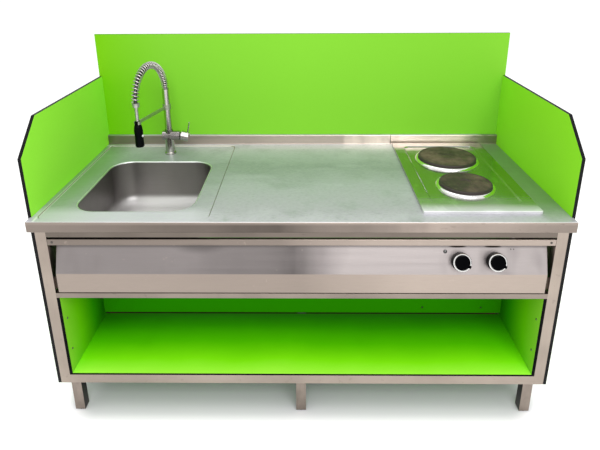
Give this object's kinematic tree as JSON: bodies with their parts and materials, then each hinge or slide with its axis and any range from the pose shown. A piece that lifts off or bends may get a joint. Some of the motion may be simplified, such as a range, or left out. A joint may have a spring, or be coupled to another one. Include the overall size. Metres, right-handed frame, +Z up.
{
  "type": "kitchenette unit",
  "caption": "Free-standing steel kitchenette with a pressed sink, a spring spout tap, a hob with cast plates, knobs, and laminate side, splash and shelf boards.",
  "frame": {"origin": "on the floor, below the middle of the unit's width and depth", "axes": "+X to the right as seen from the front, +Y to the back, +Z up"},
  "size_m": [1.888, 0.826, 1.375],
  "materials": {
    "frame_steel": "brushed along each tube",
    "sheet_steel": "brushed along the worktop, lightly scuffed",
    "bowl_steel": "satin, drawn",
    "bright_steel": "polished",
    "tap_steel": "satin chrome",
    "dark_steel": "dark, plain",
    "zinc_sheet": "plain coated sheet",
    "green_laminate": "satin compact laminate with a black core",
    "plywood": "plain layered board",
    "cast_iron": "dark, turned, slightly browned",
    "black_plastic": "semi-gloss",
    "hose_grey": "grey satin",
    "button_grey": "satin",
    "lamp_lens": "frosted lens in a dark bezel",
    "foot_plastic": "matt moulded",
    "white_plastic": "satin moulded",
    "cream_plastic": "satin moulded",
    "brass": "machined",
    "copper": "drawn tube"
  },
  "bodies": {
    "root": {"post_front_left": "frame_steel", "post_front_right": "frame_steel", "post_back_left": "frame_steel", "post_back_right": "frame_steel", "top_rail_front": "frame_steel", "top_rail_back": "frame_steel", "top_rail_left": "frame_steel", "top_rail_right": "frame_steel", "base_rail_front": "frame_steel", "base_rail_back": "frame_steel", "base_rail_left": "frame_steel", "base_rail_right": "frame_steel", "base_bearer": "frame_steel", "legs": "frame_steel", "glides": "foot_plastic", "back_frame": "frame_steel", "side_panel_left": "green_laminate", "side_panel_right": "green_laminate", "splash_panel": "green_laminate", "inner_panel_left": "green_laminate", "inner_panel_right": "green_laminate", "compartment_back": "green_laminate", "shelf": "green_laminate", "screws": "dark_steel", "worktop_sheet": "sheet_steel", "worktop_core": "plywood", "sink_bowl": "bowl_steel", "waste_flange": "bright_steel", "waste_body": "white_plastic", "bottle_trap": "white_plastic", "outlet_pipe": "white_plastic", "hob_tray": "sheet_steel", "overflow_rings": "bright_steel", "hot_plate_back": "cast_iron", "hot_plate_front": "cast_iron", "heat_shield": "zinc_sheet", "control_panel": "sheet_steel", "panel_ends": "sheet_steel", "low_rail": "frame_steel", "rotary_switches": "cream_plastic", "pilot_lamp": "lamp_lens", "terminal_box": "cream_plastic", "cable_gland": "foot_plastic", "tap_base": "tap_steel", "mixer_body": "tap_steel", "tap_nut": "brass", "supply_tails": "copper"},
    "knob_left": {"knob_left": "black_plastic", "knob_ring_left": "bright_steel"},
    "knob_right": {"knob_right": "black_plastic", "knob_ring_right": "bright_steel"},
    "spout": {"riser": "tap_steel", "holder_arm": "tap_steel", "spring": "tap_steel", "spout_hose": "hose_grey", "spray_head": "black_plastic"},
    "spray_button": {"spray_button": "button_grey"},
    "mixer_ball": {"mixer_ball": "dark_steel"},
    "mixer_lever": {"mixer_lever": "tap_steel"},
    "strainer": {"strainer": "bright_steel"}
  },
  "joints": [
    {"name": "knob_left_turn", "type": "hinge", "parent": "root", "child": "knob_left", "pos_m": [0.571, -0.35936, 0.6683], "axis": [0, -0.9384, 0.3456], "range_deg": [-270, 0]},
    {"name": "knob_right_turn", "type": "hinge", "parent": "root", "child": "knob_right", "pos_m": [0.696, -0.35936, 0.6683], "axis": [0, -0.9384, 0.3456], "range_deg": [-270, 0]},
    {"name": "spout_swivel", "type": "hinge", "parent": "root", "child": "spout", "pos_m": [-0.604, 0.267, 0.964], "axis": [0, 0, 1], "range_deg": [-48, 72]},
    {"name": "spray_button_press", "type": "slide", "parent": "spout", "child": "spray_button", "axis": [-0.9744, 0.225, 0], "range_m": [0, 0.002], "stiffness_N_per_m": 1500},
    {"name": "mixer_turn", "type": "hinge", "parent": "root", "child": "mixer_ball", "pos_m": [-0.548, 0.267, 0.934], "axis": [1, 0, 0], "range_deg": [-45, 45]},
    {"name": "mixer_tilt", "type": "hinge", "parent": "mixer_ball", "child": "mixer_lever", "pos_m": [-0.548, 0.267, 0.934], "axis": [0, -1, 0], "range_deg": [0, 25]},
    {"name": "strainer_lift", "type": "slide", "parent": "root", "child": "strainer", "axis": [0, 0, 1], "range_m": [0, 0.12]}
  ]
}
